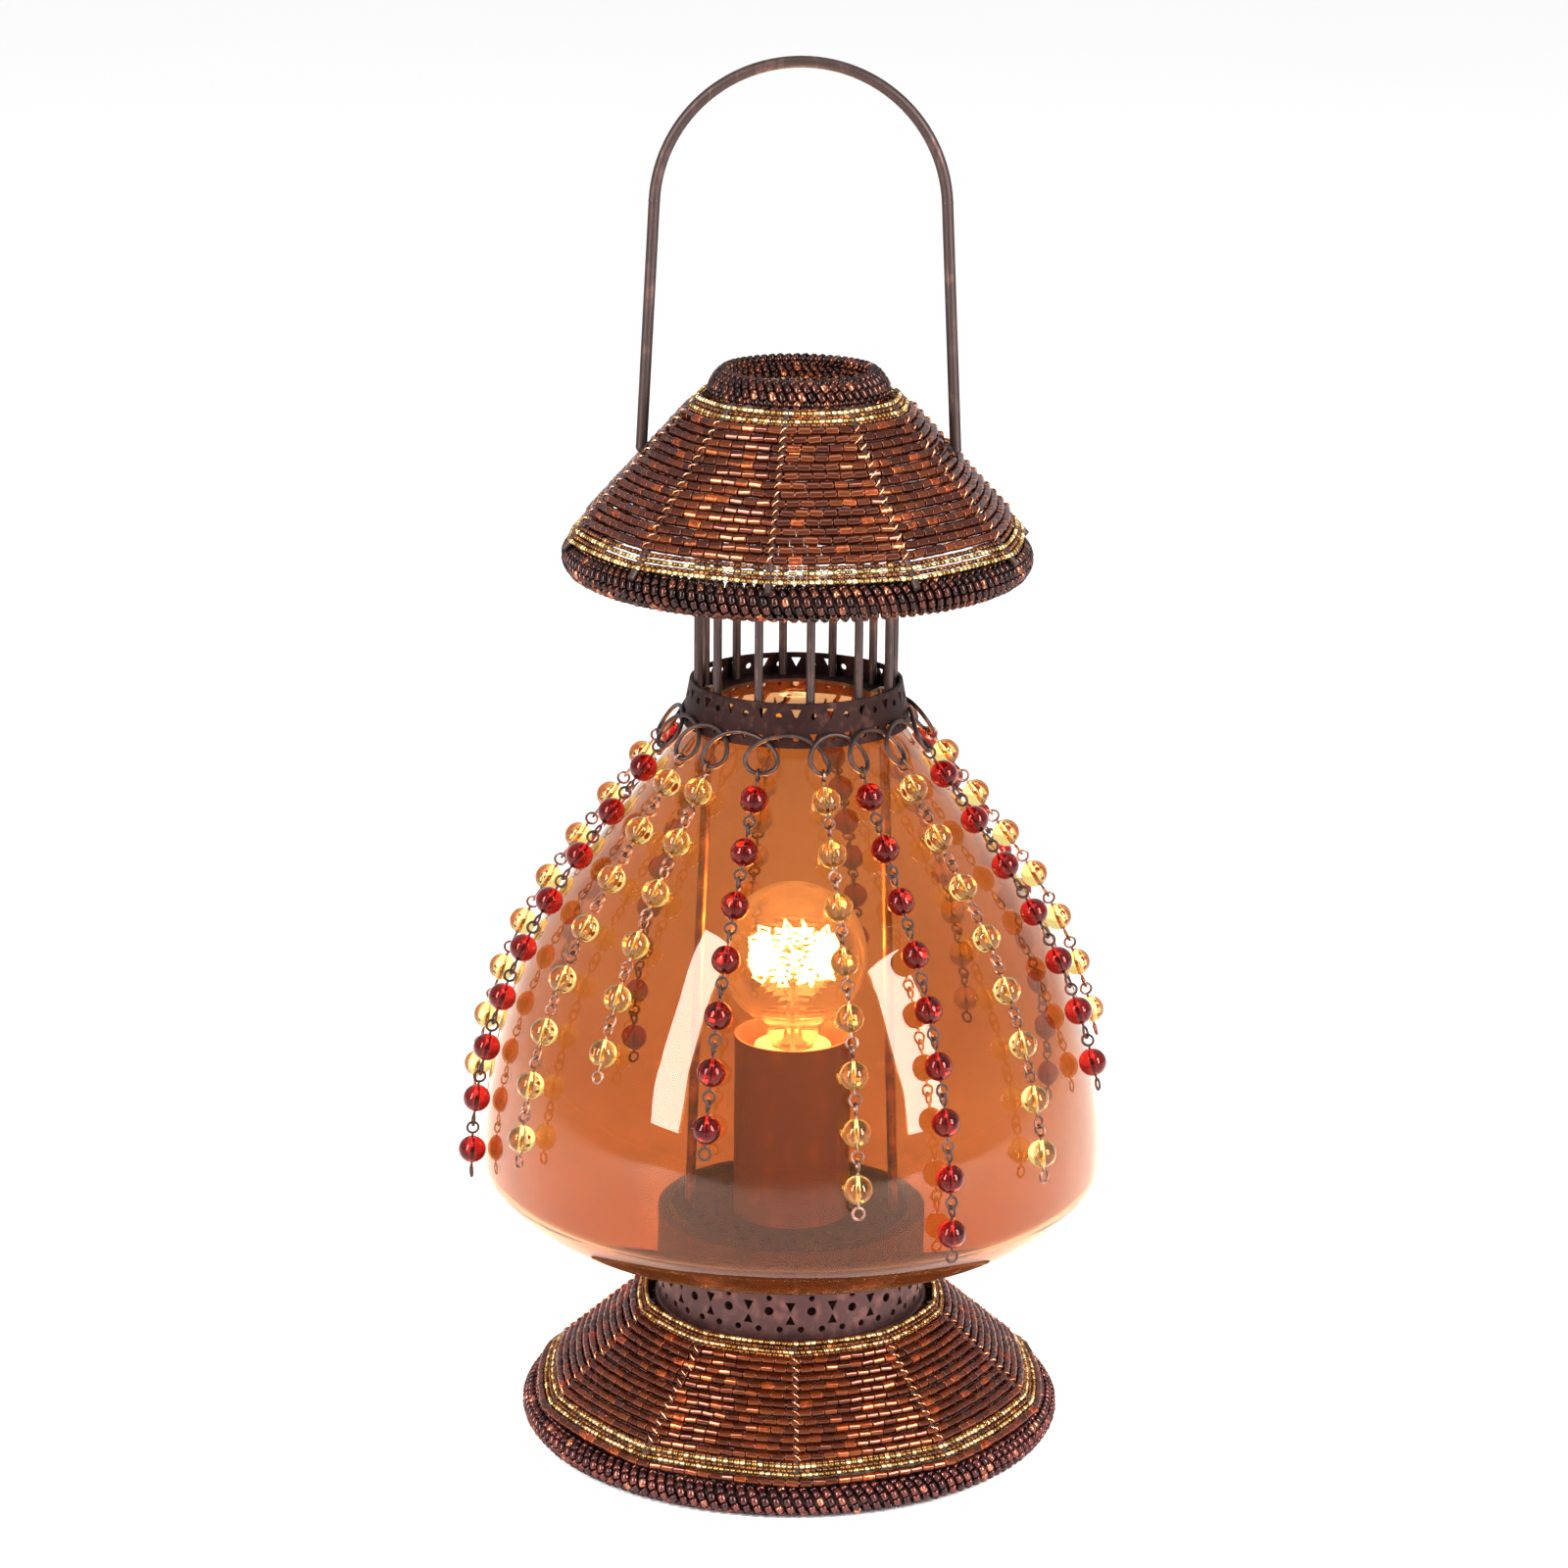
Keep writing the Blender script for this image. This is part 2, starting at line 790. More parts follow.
class BeadTree(Tree):
    """Puts one bead on every edge of a thread, a little uneven in size, lie and shade."""

    def __init__(self) -> None:
        """Builds the tree."""
        super().__init__(
            "strung_beads",
            {
                "Bead": ("NodeSocketObject", None),
                "Radius": ("NodeSocketFloat", 0.001),
                "Fill": ("NodeSocketFloat", 0.95),
                "Uneven": ("NodeSocketFloat", 0.05),
                "Tilt": ("NodeSocketFloat", 0.05),
                "Seed": ("NodeSocketInt", 1),
            },
        )
        ends = self.node("GeometryNodeInputMeshEdgeVertices")
        along = self.vector("SUBTRACT", ends.outputs["Position 2"], ends.outputs["Position 1"])
        kept = self.node(
            "GeometryNodeCaptureAttribute",
            {"domain": "EDGE", "items": [("VECTOR", "Along")]},
            {"Geometry": self.start.outputs["Geometry"], "Along": along},
        )
        spots = self.node("GeometryNodeMeshToPoints", {"mode": "EDGES"}, {"Mesh": kept.outputs["Geometry"]})
        measured = self.node("ShaderNodeVectorMath", {"operation": "LENGTH"}, {0: kept.outputs["Along"]})
        length = Expr(self, measured.outputs["Value"])
        aside = self.scatter("FLOAT_VECTOR", (-1.0, -1.0, -1.0), (1.0, 1.0, 1.0), Draw.LEAN)
        lean = self.scaled(aside, length * self.given("Tilt"))
        lie = self.node(
            "FunctionNodeAlignRotationToVector",
            {"axis": "Z"},
            {"Vector": self.vector("ADD", kept.outputs["Along"], lean)},
        )
        turn = self.node(
            "FunctionNodeAxisAngleToRotation",
            {},
            {"Axis": (0.0, 0.0, 1.0), "Angle": self.scatter("FLOAT", 0.0, 6.28, Draw.SPIN)},
        )
        spin = self.node(
            "FunctionNodeRotateRotation",
            {"rotation_space": "LOCAL"},
            {"Rotation": lie.outputs[0], "Rotate By": turn.outputs[0]},
        )
        swell = 1.0 + self.given("Uneven") * Expr(self, self.scatter("FLOAT", -1.0, 1.0, Draw.SWELL))
        girth = self.given("Radius") * swell
        size = self.node("ShaderNodeCombineXYZ", {}, {0: girth, 1: girth, 2: length * self.given("Fill")})
        bead = self.node("GeometryNodeObjectInfo", {}, {"Object": self.given("Bead")})
        beads = self.node(
            "GeometryNodeInstanceOnPoints",
            {},
            {
                "Points": spots.outputs[0],
                "Instance": bead.outputs["Geometry"],
                "Rotation": spin.outputs[0],
                "Scale": size.outputs[0],
            },
        )
        shade = self.scatter("FLOAT", 0.0, 1.0, Draw.SHADE)
        shaded = self.node(
            "GeometryNodeStoreNamedAttribute",
            {"data_type": "FLOAT", "domain": "INSTANCE"},
            {"Geometry": beads.outputs[0], "Name": "tint", "Value": shade},
        )
        self.close(shaded.outputs[0])

    def scatter(self, kind: str, low: object, high: object, draw: Draw) -> bpy.types.NodeSocket:
        """A random value for each bead, from the tree's seed and a shift of its own.

        Args:
            kind: The node's data type.
            low: The least value.
            high: The greatest value.
            draw: What the value is for.

        Returns:
            The value's socket.
        """
        made = self.node("FunctionNodeRandomValue", {"data_type": kind})
        wanted = {"FLOAT": "VALUE", "FLOAT_VECTOR": "VECTOR"}[kind]
        for socket in made.inputs:
            if socket.enabled and socket.type == wanted and socket.name in ("Min", "Max"):
                self.put(low if socket.name == "Min" else high, socket)
            if socket.enabled and socket.name == "Seed":
                self.put(self.given("Seed") * 10.0 + float(draw.value), socket)
        return next(s for s in made.outputs if s.enabled)


class WireTree(Tree):
    """Draws round wire along edges. With a coil radius above nought the wire winds round them."""

    def __init__(self) -> None:
        """Builds the tree."""
        super().__init__(
            "bent_wire",
            {
                "Wire radius": ("NodeSocketFloat", 0.0003),
                "Sides": ("NodeSocketInt", 6),
                "Step": ("NodeSocketFloat", 0.0005),
                "Coil radius": ("NodeSocketFloat", 0.0),
                "Coil pitch": ("NodeSocketFloat", 0.002),
            },
        )
        line = self.node("GeometryNodeMeshToCurve", {}, {"Mesh": self.start.outputs["Geometry"]})
        even = self.node(
            "GeometryNodeResampleCurve",
            {"mode": "LENGTH"},
            {"Curve": line.outputs[0], "Length": self.given("Step")},
        )
        ahead = self.node("GeometryNodeInputTangent").outputs[0]
        out = self.node("GeometryNodeInputNormal").outputs[0]
        across = self.vector("CROSS_PRODUCT", ahead, out)
        gone = Expr(self, self.node("GeometryNodeSplineParameter").outputs["Length"])
        turn = gone / self.given("Coil pitch") * (2 * math.pi)
        reach = self.given("Coil radius")
        outwards, sideways = self.scaled(out, turn.cos() * reach), self.scaled(across, turn.sin() * reach)
        shift = self.vector("ADD", outwards, sideways)
        wound = self.node("GeometryNodeSetPosition", {}, {"Geometry": even.outputs[0], "Offset": shift})
        ring = self.node(
            "GeometryNodeCurvePrimitiveCircle",
            {"mode": "RADIUS"},
            {"Resolution": self.given("Sides"), "Radius": self.given("Wire radius")},
        )
        drawn = self.node(
            "GeometryNodeCurveToMesh",
            {},
            {"Curve": wound.outputs[0], "Profile Curve": ring.outputs[0], "Fill Caps": True},
        )
        smooth = self.node(
            "GeometryNodeSetShadeSmooth", {}, {"Geometry": drawn.outputs[0], "Shade Smooth": True}
        )
        self.close(smooth.outputs[0])


class Bench:
    """What every sub-assembly is made with: the finishes, the trees and the bead shapes."""

    def __init__(self) -> None:
        """Makes the finishes, the trees and one of each bead shape."""
        self.finish = Finishes()
        self.beads = BeadTree()
        self.wires = WireTree()
        self.seed_shape = self.bead_shape(
            "seed_shape", self.mirrored((0.3, 0.44), (0.78, 0.5), (1.0, 0.3)), 8
        )
        self.tiny_shape = self.bead_shape(
            "tiny_shape", [(0.3, -0.42), (0.86, -0.46), (1.0, 0.0), (0.86, 0.46), (0.3, 0.42)], 6
        )
        self.bugle_shape = self.bead_shape(
            "bugle_shape", self.mirrored((0.45, 0.49), (0.9, 0.5), (1.0, 0.46), (1.0, 0.42)), 8
        )
        steps, pole, hole_r = 13, 82.2, 0.135
        angles = [math.radians(-pole + 2 * pole * i / steps) for i in range(steps + 1)]
        ball = [(max(hole_r, math.cos(a)), 0.5 * math.sin(a)) for a in angles]
        self.round_shape = self.bead_shape("round_shape", ball, 26)

    def mirrored(self, *upper: Spot) -> list[Spot]:
        """A bead's outline from its upper half, which starts at the hole: the lower half comes first."""
        return [(r, -z) for r, z in upper] + list(reversed(upper))

    def bead_shape(self, name: str, outline: Sequence[Spot], steps: int) -> bpy.types.Object:
        """One bead of radius 1 and length 1 with its hole along Z, kept off the scene.

        Args:
            name: The shape's name.
            outline: Its section, as distances out and heights.
            steps: Points round it.

        Returns:
            The bead.
        """
        made = turned(name, outline, steps, 1.0)
        bpy.context.scene.collection.objects.unlink(made)
        return made

    def string(
        self,
        name: str,
        paths: Iterable[Sequence[Point]],
        shape: bpy.types.Object,
        radius: float,
        finish: bpy.types.Material,
        slot: Slot,
        body: str = Body.LAMP.value,
        closed: bool = False,
        stands_for: Sequence[str] = (),
        **values: object,
    ) -> bpy.types.Object:
        """Strings one bead on every step of the paths.

        Args:
            name: The piece's name.
            paths: Threads, as points in millimetres.
            shape: The bead's shape.
            radius: The bead's radius in millimetres.
            finish: Its material.
            slot: The record's slot it takes its finish from.
            body: The body it rides on.
            closed: Whether each thread runs back to its start.
            stands_for: CAD nodes that it replaces.
            values: More named inputs of the bead tree.

        Returns:
            The finished piece.
        """
        thread = path_object(name, paths, closed)
        piece = self.beads.run(thread, finish, Bead=shape, Radius=radius * MM, **values)
        return self.hand_in(piece, body, stands_for)

    def wire(
        self,
        name: str,
        paths: Iterable[Sequence[Point]],
        radius: float,
        finish: bpy.types.Material,
        slot: Slot,
        body: str = Body.LAMP.value,
        closed: bool = False,
        stands_for: Sequence[str] = (),
        **values: object,
    ) -> bpy.types.Object:
        """Draws round wire along the paths.

        Args:
            name: The piece's name.
            paths: Lines, as points in millimetres.
            radius: The wire's radius in millimetres.
            finish: Its material.
            slot: The record's slot it takes its finish from.
            body: The body it rides on.
            closed: Whether each line runs back to its start.
            stands_for: CAD nodes that it replaces.
            values: More named inputs of the wire tree.

        Returns:
            The finished piece.
        """
        line = path_object(name, paths, closed)
        piece = self.wires.run(line, finish, Wire_radius=radius * MM, **values)
        return self.hand_in(piece, body, stands_for)

    def hand_in(
        self, piece: bpy.types.Object, body: str, stands_for: Sequence[str] = ()
    ) -> bpy.types.Object:
        """Tells the frame about a piece.

        Args:
            piece: The piece.
            body: The body it rides on.
            stands_for: CAD nodes that it replaces.

        Returns:
            The same piece.
        """
        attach(piece, body)
        if stands_for:
            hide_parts(*stands_for)
        log.info("%s: %d faces on %s", piece.name, len(piece.data.polygons), body)
        return piece


# ---------- bead rolls and beaded cones ----------


@dataclass
class BeadRoll:
    """A hoop wrapped in slanted turns of seed beads.

    Attributes:
        ring_r: The distance of the section's middle from the axis, at its height.
        across: Half the section's width, and up half its height, before it is turned by lean.
        starts: How many threads run side by side, each going round the section turns times.
        per_turn: The beads in one turn round the section.
    """

    name: str
    ring_r: float
    height: float
    across: float
    up: float
    starts: int
    turns: int
    per_turn: int
    bead_r: float
    finish: bpy.types.Material
    lean: float = 0.0
    seed: int = 1

    def section(self, angle: float, share: float = 1.0) -> Spot:
        """A point of the roll's section.

        Args:
            angle: The direction from its middle, in radians.
            share: How far out it lies, as a share of the section's size.

        Returns:
            Its distance out and up from the section's middle.
        """
        tilt = math.radians(self.lean)
        x, y = share * self.across * math.cos(angle), share * self.up * math.sin(angle)
        return x * math.cos(tilt) - y * math.sin(tilt), x * math.sin(tilt) + y * math.cos(tilt)

    def threads(self) -> list[list[Point]]:
        """The slanted threads of the wrapping.

        Returns:
            One closed thread for each start, with a step for each bead.
        """
        found = []
        count = self.turns * self.per_turn
        for start in range(self.starts):
            thread = []
            for i in range(count):
                out, up = self.section(-2 * math.pi * i / self.per_turn)
                share = i / count + start / (self.starts * self.turns)
                thread.append(toward(360 * share, self.ring_r + out, self.height + up))
            found.append(thread)
        return found

    def build(self, bench: Bench) -> None:
        """Makes the beads and the bound wire core inside them.

        Args:
            bench: What the pieces are made with.
        """
        bench.string(
            self.name + "_seeds",
            self.threads(),
            bench.seed_shape,
            self.bead_r,
            self.finish,
            Slot.BROWN_BEADS,
            closed=True,
            stands_for=(self.name + "_beads",),
            Fill=0.99,
            Uneven=0.06,
            Tilt=0.09,
            Seed=self.seed,
        )
        share = 1 - self.bead_r / min(self.across, self.up) * 0.7
        sides = 10
        ring = [self.section(2 * math.pi * j / sides, share) for j in range(sides)]
        piece = turned(self.name + "_core", [(self.ring_r + x, self.height + y) for x, y in ring], 120)
        piece.data.materials.append(bench.finish.dark_wire)
        bench.hand_in(piece, Body.LAMP.value)


@dataclass(frozen=True)
class Gap:
    """Room that the rows of a beaded cone leave for a round piece that passes through them."""

    azimuth: float
    height: float
    reach: float

    def holds(self, place: Vector) -> bool:
        """Whether a point lies in the gap.

        Args:
            place: The point, in millimetres.

        Returns:
            True inside the gap's cylinder, on its own side of the axis.
        """
        a = math.radians(self.azimuth)
        along = place.x * math.sin(a) - place.y * math.cos(a)
        aside = place.x * math.cos(a) + place.y * math.sin(a)
        return along > 0 and math.hypot(aside, place.z - self.height) < self.reach


@dataclass
class BeadedCone:
    """Rows of beads strung right round a ten-sided cone and laced to its ribs with copper wire.

    Attributes:
        turn: The azimuth of the first rib.
        low: The distance out and the height of the lowest row's corners, and top those of the highest.
        steps: How many rows the highest lies above the lowest.
        slant: Which way the stitches lean, 1 or -1.
        straight: How straight a row runs between two ribs: 0 is round, 1 is straight.
        below: More rows of bugle beads, by number, among or under the lowest gold rows.
        drop: How many rows the lowest gold rows are moved up.
    """

    name: str
    turn: float
    low: Spot
    top: Spot
    steps: int
    bugle_long: float
    slant: float
    gaps: tuple[Gap, ...] = ()
    straight: float = 0.45
    bugle_out: float = 0.6
    tiny_r: float = 0.73
    lace_r: float = 0.26
    thread_r: float = 0.28
    stitch: float = 1.5
    waver: float = 0.04
    gold_out: float = 0.75
    amber_out: float = 0.45
    below: tuple[float, ...] = ()
    drop: float = 0.0
    seed: int = 1

    @property
    def pitch(self) -> float:
        """The distance between two rows, measured up the middle of a side."""
        flat = math.cos(math.pi / SIDES)
        return math.hypot((self.low[0] - self.top[0]) * flat, self.top[1] - self.low[1]) / self.steps

    @property
    def bugle_r(self) -> float:
        """The radius of a bugle bead: the rows all but touch."""
        return 0.49 * self.pitch

    def reach(self, row: float) -> float:
        """How far a row's corners are from the axis."""
        return self.low[0] + (self.top[0] - self.low[0]) * row / self.steps

    def point(self, row: float, azimuth: float, out: float = 0.0) -> Point:
        """A point of a row.

        Args:
            row: The row, counted from the lowest.
            azimuth: Its direction from the front, in degrees.
            out: How far it lies off the cone, in millimetres.

        Returns:
            The point. Between two ribs a row runs nearly straight, with a slight bow.
        """
        sector = 360 / SIDES
        from_middle = 2 * ((azimuth - self.turn) % sector) / sector - 1
        inwards = 1 - (1 - math.cos(math.pi / SIDES)) * self.straight * (1 - from_middle**2)
        slope = math.atan2(self.low[0] - self.top[0], self.top[1] - self.low[1])
        z = self.low[1] + (self.top[1] - self.low[1]) * row / self.steps
        return toward(azimuth, self.reach(row) * inwards + out * math.cos(slope), z + out * math.sin(slope))

    def thread(self, row: float, long: float, rng: random.Random, out: float = 0.0) -> list[list[Point]]:
        """The thread of one row right round, with a step for each bead.

        Args:
            row: The row, counted from the lowest.
            long: The wished length of a bead.
            rng: Where its start and its slight wave come from.
            out: How far it lies off the cone.

        Returns:
            Runs of points: one for the whole row, or more where it is broken by a gap.
        """
        count = round(2 * math.pi * 0.98 * self.reach(row) / long)
        start, wave = rng.uniform(0, 360), rng.uniform(0, 2 * math.pi)
        points = []
        for i in range(count + 1):
            azimuth = start + 360 * i / count
            shift = self.waver * math.sin(math.radians(3 * azimuth) + wave)
            points.append(Vector(self.point(row + shift, azimuth, out)))
        runs: list[list[Point]] = [[]]
        for a, b in zip(points, points[1:]):
            if any(gap.holds(place) for gap in self.gaps for place in (a, b, (a + b) / 2)):
                runs.append([])
                continue
            runs[-1] += [tuple(b)] if runs[-1] else [tuple(a), tuple(b)]
        return [run for run in runs if run]

    def lace(self, side: int, rng: random.Random) -> list[Point]:
        """The wire that binds the rows to one rib.

        Args:
            side: The rib.
            rng: Where the stitches' unevenness comes from.

        Returns:
            Points along the wire: over each row on the slant, and straight back behind it.
        """
        path = []
        points = 5
        for row in range(2, self.steps - 1):
            half = self.stitch * rng.uniform(0.8, 1.3)
            high = self.bugle_out + self.bugle_r + 0.75 * self.lace_r
            for i in range(2 * points):
                share = i % points / points
                front = i < points
                aside = self.slant * half * (2 * share - 1) * (1 if front else -1)
                at = row - 0.5 + share if front else row + 0.5
                out = (high if front else -self.stitch) * math.sin(math.pi * share)
                azimuth = self.turn + side * 360 / SIDES + math.degrees(aside / self.reach(at))
                path.append(self.point(at, azimuth, out))
        return path

    def build(self, bench: Bench) -> None:
        """Makes the bugle rows, the rows of small beads, their threads and the lacing on the ribs.

        Args:
            bench: What the pieces are made with.
        """
        rng = random.Random(self.seed)
        top = self.steps
        rows = (*self.below, *range(2, top - 1))
        bugles = [run for row in rows for run in self.thread(row, self.bugle_long, rng, self.bugle_out)]
        bench.string(
            self.name + "_bugles",
            bugles,
            bench.bugle_shape,
            self.bugle_r,
            bench.finish.bugles,
            Slot.BROWN_BEADS,
            stands_for=(self.name + "_bugle_rows",),
            Fill=0.96,
            Uneven=0.05,
            Tilt=0.085,
            Seed=self.seed,
        )
        gold_rows = (self.drop, 1 + self.drop, top - 1, top)
        amber_rows = (0.5 + self.drop, 1.3 + 0.3 * self.drop, top - 1.3, top - 0.5)
        for label, rows, out, finish, stands_for in (
            ("_gold_seeds", gold_rows, self.gold_out, bench.finish.gold, (self.name + "_gold_rows",)),
            ("_amber_seeds", amber_rows, self.amber_out, bench.finish.amber_seeds, ()),
        ):
            bench.string(
                self.name + label,
                [run for row in rows for run in self.thread(row, 2.4 * self.tiny_r, rng, out)],
                bench.tiny_shape,
                self.tiny_r,
                finish,
                Slot.GOLD_BEADS,
                stands_for=stands_for,
                Fill=0.97,
                Uneven=0.1,
                Tilt=0.12,
                Seed=self.seed + 3,
            )
        bench.wire(
            self.name + "_row_threads",
            bugles,
            self.thread_r,
            bench.finish.copper,
            Slot.COPPER_WIRE,
            Sides=5,
            Step=0.004,
        )
        bench.wire(
            self.name + "_rib_lacing",
            [self.lace(side, rng) for side in range(SIDES)],
            self.lace_r,
            bench.finish.copper,
            Slot.COPPER_WIRE,
            Sides=6,
            Step=0.0004,
        )


# ---------- the globe, the strands and the petal wire ----------


@dataclass
class Globe:
    """The blown glass globe: a wide belly, a leaning shoulder and a straight lip."""

    belly_r: float = 95.0
    belly_z: float = 87.0
    wall: float = 2.0
    shoulder: float = 153.0
    lean: float = 36.5
    lip_r: float = 29.4
    lip_z: float = 229.0
    lip_curve: float = 14.0
    belly_curve: float = 8.0
    belly_turn: float = 36.0
    low_z: float = 67.0
    hole_r: float = 36.0

    def arc(self, middle: Spot, r: float, start: float, stop: float, steps: int) -> list[Spot]:
        """Points of an arc in the outline.

        Args:
            middle: Its middle.
            r: Its radius.
            start: The angle of its first point, in degrees.
            stop: The angle of its last point.
            steps: The steps between them.

        Returns:
            Both ends and the points between.
        """
        angles = [math.radians(start + (stop - start) * i / steps) for i in range(steps + 1)]
        return [(middle[0] + r * math.cos(a), middle[1] + r * math.sin(a)) for a in angles]

    def side(self, depth: float) -> list[Spot]:
        """The outline from the flat underside up to the lip.

        Args:
            depth: How far it is moved into the wall.

        Returns:
            Distances out and heights, from the bottom up.
        """
        lean, turn = math.radians(self.lean), math.radians(self.belly_turn)
        end = (
            self.belly_r - self.shoulder * (1 - math.cos(lean)),
            self.belly_z + self.shoulder * math.sin(lean),
        )
        top_r = self.lip_r + self.lip_curve * (1 - math.cos(lean))
        long = (end[0] - top_r) / math.sin(lean)
        top = (end[0] - long * math.sin(lean), end[1] + long * math.cos(lean))
        lip = (top[0] + self.lip_curve * math.cos(lean), top[1] + self.lip_curve * math.sin(lean))
        rise = math.degrees(math.asin((lip[1] - self.lip_z) / self.lip_curve))
        belly = (self.belly_r - self.belly_curve, self.belly_z)
        floor_curve = (self.belly_z - self.belly_curve * math.sin(turn) - self.low_z) / (1 - math.sin(turn))
        floor = (
            belly[0] + (self.belly_curve - floor_curve) * math.cos(turn),
            belly[1] - (self.belly_curve - floor_curve) * math.sin(turn),
        )
        shoulder = (self.belly_r - self.shoulder, self.belly_z)
        return (
            self.arc(floor, floor_curve - depth, -90, -self.belly_turn, 14)
            + self.arc(belly, self.belly_curve - depth, -self.belly_turn, 0, 7)[1:]
            + self.arc(shoulder, self.shoulder - depth, 0, self.lean, 22)[1:]
            + self.arc(lip, self.lip_curve + depth, 180 + self.lean, 180 + rise, 8)
        )

    def build(self, bench: Bench) -> None:
        """Makes the glass as one closed wall with a rounded lip and a rounded hole.

        Args:
            bench: What the piece is made with.
        """
        out, back = self.side(0.0), self.side(self.wall)
        half = self.wall / 2
        rounding = self.arc((out[-1][0] - half, out[-1][1] - half), half, 20, 160, 5)
        edge = (self.hole_r + half, self.low_z + half)
        foot = [
            (edge[0] + half, edge[1] + half),
            *self.arc(edge, half, 90, 270, 8),
            (edge[0] + half, edge[1] - half),
        ]
        outline = out[:-1] + rounding + back[-2::-1] + foot
        piece = turned("globe_glass", outline, 144)
        piece.data.materials.append(bench.finish.globe)
        bench.hand_in(piece, Body.LAMP.value, ("glass_globe",))


@dataclass
class Strands:
    """Sixteen strings of round glass beads, hung from the petal wire down the globe's shoulder."""

    globe: Globe
    azimuths: tuple[float, ...] = (
        *(-95.7, -77.1, -54.5, -37.8, -15.1, 11.1, 27.7, 48.3),
        *(71.6, 102.2, 122.0, 144.0, 167.0, 189.0, 212.0, 234.0),
    )
    counts: tuple[int, ...] = (8, 9, 8, 6, 7, 8, 9, 8, 7, 7, 9, 8, 7, 8, 9, 7)
    gold: tuple[int, ...] = (1, 0, 1, 1, 0, 1, 0, 1, 0, 1, 0, 1, 0, 1, 0, 0)
    bead_d: float = 8.3
    pitch: float = 16.4
    start: float = 45.6
    gap: float = 0.35

    def at(self, s: float) -> Spot:
        """A point of the strands' path.

        Args:
            s: The way down it in millimetres, from where the glass turns from cone to shoulder.

        Returns:
            Its distance from the axis and its height.
        """
        globe, lean = self.globe, math.radians(self.globe.lean)
        sag = self.pitch**2 / (8 * (globe.shoulder + self.bead_d / 2))
        off = self.bead_d / 2 + self.gap + sag
        bend = globe.shoulder + off
        if s < 0:
            end_r = globe.belly_r - globe.shoulder * (1 - math.cos(lean))
            end_z = globe.belly_z + globe.shoulder * math.sin(lean)
            out, up = end_r + off * math.cos(lean), end_z + off * math.sin(lean)
            return out + s * math.sin(lean), up - s * math.cos(lean)
        if s < bend * lean:
            a = lean - s / bend
            return globe.belly_r - globe.shoulder + bend * math.cos(a), globe.belly_z + bend * math.sin(a)
        return globe.belly_r + off, globe.belly_z - (s - bend * lean)

    def link(self, i: int) -> Spot:
        """Out and up of a link between two beads."""
        return self.at(i * self.pitch - self.start)

    def build(self, bench: Bench) -> None:
        """Makes the beads of each strand.

        Args:
            bench: What the pieces are made with.
        """
        for k, (azimuth, count, gold) in enumerate(zip(self.azimuths, self.counts, self.gold), 1):
            name = f"strand_{k:02d}"
            bench.string(
                name + "_round_beads",
                [[toward(azimuth, *self.link(i)) for i in range(count + 1)]],
                bench.round_shape,
                self.bead_d / 2,
                bench.finish.clear_beads if gold else bench.finish.red_beads,
                Slot.CLEAR_BEADS if gold else Slot.RED_BEADS,
                name,
                stands_for=(name + "_beads",),
                Fill=0.51,
                Uneven=0.015,
                Tilt=0.02,
                Seed=40 + k,
            )


@dataclass
class PetalWire:
    """One unbroken wire bent into a loop above each strand, lying on the globe's shoulder."""

    strands: Strands
    wire_d: float = 1.4
    rise: float = 12.3
    lift: float = 1.3
    swing: float = 0.535
    steps: int = 40

    def azimuth(self, k: int) -> float:
        """The azimuth of strand k, going on past both ends."""
        found = self.strands.azimuths
        return found[k % len(found)] + 360 * (k // len(found))

    def point(self, k: int, phi: float) -> Point:
        """A point of the wire.

        Args:
            k: The strand whose loop it belongs to.
            phi: The way along the loop in degrees, from -180 through its foot at 0 to 180.

        Returns:
            The point in millimetres.
        """
        middle = self.azimuth(k)
        before, after = (middle - self.azimuth(k - 1)) / 2, (self.azimuth(k + 1) - middle) / 2
        swing = self.swing * 2 * min(before, after)
        a, lean = math.radians(phi), math.radians(self.strands.globe.lean)
        foot = self.strands.link(0)
        up, lift = self.rise * (1 - math.cos(a)) / 2, self.lift * math.sin(a)
        return toward(
            middle + (before if phi < 0 else after) * phi / 180 - swing * math.sin(a),
            foot[0] - up * math.sin(lean) + lift * math.cos(lean),
            foot[1] + up * math.cos(lean) + lift * math.sin(lean),
        )

    def build(self, bench: Bench) -> None:
        """Makes the wire.

        Args:
            bench: What the piece is made with.
        """
        count = len(self.strands.azimuths)
        path = [self.point(k, -180 + 360 * j / self.steps) for k in range(count) for j in range(self.steps)]
        bench.wire(
            "petal_loops",
            [path],
            self.wire_d / 2,
            bench.finish.dark_wire,
            Slot.DARK_WIRE,
            closed=True,
            stands_for=("petal_wire",),
            Sides=9,
            Step=0.0009,
        )


